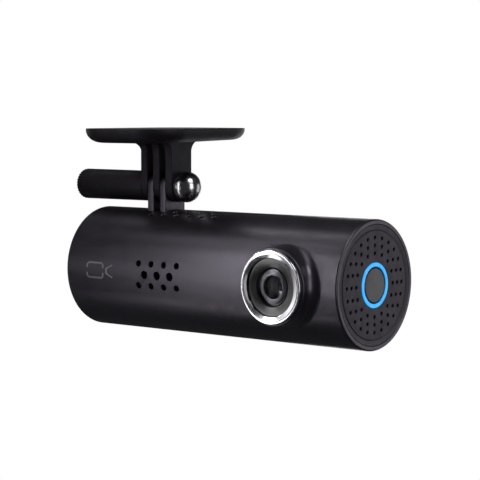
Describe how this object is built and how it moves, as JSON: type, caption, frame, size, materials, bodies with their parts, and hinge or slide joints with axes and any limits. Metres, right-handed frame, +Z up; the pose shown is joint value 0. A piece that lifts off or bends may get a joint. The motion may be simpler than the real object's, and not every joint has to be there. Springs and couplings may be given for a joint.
{
  "type": "dash camera",
  "caption": "Cylindrical windscreen dash camera with a chrome-ringed lens, a lit power button in a round speaker grille, and a clamped tilting hinge on an adhesive plate.",
  "frame": {"origin": "centre of the adhesive pad's upper face, straight above the middle of the hinge", "axes": "+Z up, out of the adhesive face towards the windscreen; +X along the barrel towards the power button; the lens looks towards -Y"},
  "size_m": [0.1105, 0.046, 0.0608],
  "materials": {
    "bracket_plastic": "satin moulded",
    "pad_foam": "matt foam",
    "polished_ball": "dark polished",
    "zinc_steel": "plated",
    "knob_plastic": "satin moulded",
    "shell_plastic": "satin charcoal",
    "cap_plastic": "fine matt",
    "black_screw": "blackened",
    "bezel_plastic": "gloss black",
    "grille_plastic": "fine matt",
    "light_guide": "lit translucent",
    "button_plastic": "satin",
    "white_plastic": "moulded",
    "switch_body": "moulded",
    "circuit_board": "solder mask",
    "light_source": "clear epoxy",
    "speaker_frame": "paper and plated steel",
    "trim_chrome": "polished",
    "lens_black": "gloss black",
    "lens_glass": "coated",
    "retainer_black": "satin",
    "black_anodised": "black anodised",
    "holder_plastic": "moulded",
    "filter_glass": "coated",
    "sensor_package": "glazed package",
    "flex_polyimide": "film",
    "chassis_plastic": "moulded",
    "chip_epoxy": "moulded epoxy",
    "thermal_silicone": "soft",
    "spreader_aluminium": "rolled",
    "plated_can": "plated",
    "boot_rubber": "matt",
    "antenna_laminate": "laminate",
    "card_plastic": "moulded",
    "cell_wrap": "film"
  },
  "bodies": {
    "bracket": {"bracket": "bracket_plastic", "adhesive_pad": "pad_foam", "ball_nut": "polished_ball"},
    "washer": {"clamp_washer": "zinc_steel"},
    "knob": {"knob": "knob_plastic", "clamp_screw": "zinc_steel"},
    "power_button": {"power_button": "button_plastic", "switch_plunger": "white_plastic"},
    "memory_card": {"memory_card": "card_plastic"},
    "reset_plunger": {"reset_plunger": "white_plastic"},
    "camera": {"sensor_screws": "zinc_steel", "board_screws": "zinc_steel", "housing_tube": "shell_plastic", "left_end_cap": "cap_plastic", "cap_screws": "black_screw", "end_bezel": "bezel_plastic", "speaker_grille": "grille_plastic", "light_guide_ring": "light_guide", "power_switch": "switch_body", "reset_switch": "switch_body", "button_board": "circuit_board", "sensor_board": "circuit_board", "main_board": "circuit_board", "ring_leds": "light_source", "speaker": "speaker_frame", "lens_trim_ring": "trim_chrome", "lens_bezel": "lens_black", "front_element": "lens_glass", "second_element": "lens_glass", "rear_element": "lens_glass", "lens_retainer": "retainer_black", "aperture_stop": "retainer_black", "lens_barrel": "black_anodised", "lens_holder": "holder_plastic", "ir_filter": "filter_glass", "image_sensor": "sensor_package", "flex_cable": "flex_polyimide", "chassis": "chassis_plastic", "processor": "chip_epoxy", "memory_chip": "chip_epoxy", "thermal_pad": "thermal_silicone", "heat_spreader": "spreader_aluminium", "microphone": "plated_can", "card_socket": "plated_can", "usb_socket": "plated_can", "mic_boot": "boot_rubber", "wifi_antenna": "antenna_laminate", "battery": "cell_wrap"}
  },
  "joints": [
    {"name": "tilt", "type": "hinge", "parent": "bracket", "child": "camera", "pos_m": [0, 0, -0.0175], "axis": [1, 0, 0], "range_deg": [-75, 75]},
    {"name": "knob_advance", "type": "slide", "parent": "bracket", "child": "washer", "axis": [-1, 0, 0], "range_m": [0, 0.0014]},
    {"name": "knob_turn", "type": "hinge", "parent": "washer", "child": "knob", "pos_m": [0, 0, -0.0175], "axis": [-1, 0, 0], "range_deg": [0, 720]},
    {"name": "power_press", "type": "slide", "parent": "camera", "child": "power_button", "axis": [-1, 0, 0], "range_m": [0, 0.0004], "stiffness_N_per_m": 2000, "springref_m": -0.0002},
    {"name": "card_slide", "type": "slide", "parent": "camera", "child": "memory_card", "axis": [-1, 0, 0], "range_m": [-0.0006, 0.012]},
    {"name": "reset_press", "type": "slide", "parent": "camera", "child": "reset_plunger", "axis": [1, 0, 0], "range_m": [0, 0.00025], "stiffness_N_per_m": 2000, "springref_m": -0.0001}
  ],
  "couplings": [
    {"joint": "knob_turn", "follows": "knob_advance", "rad_per_m": 8976}
  ]
}
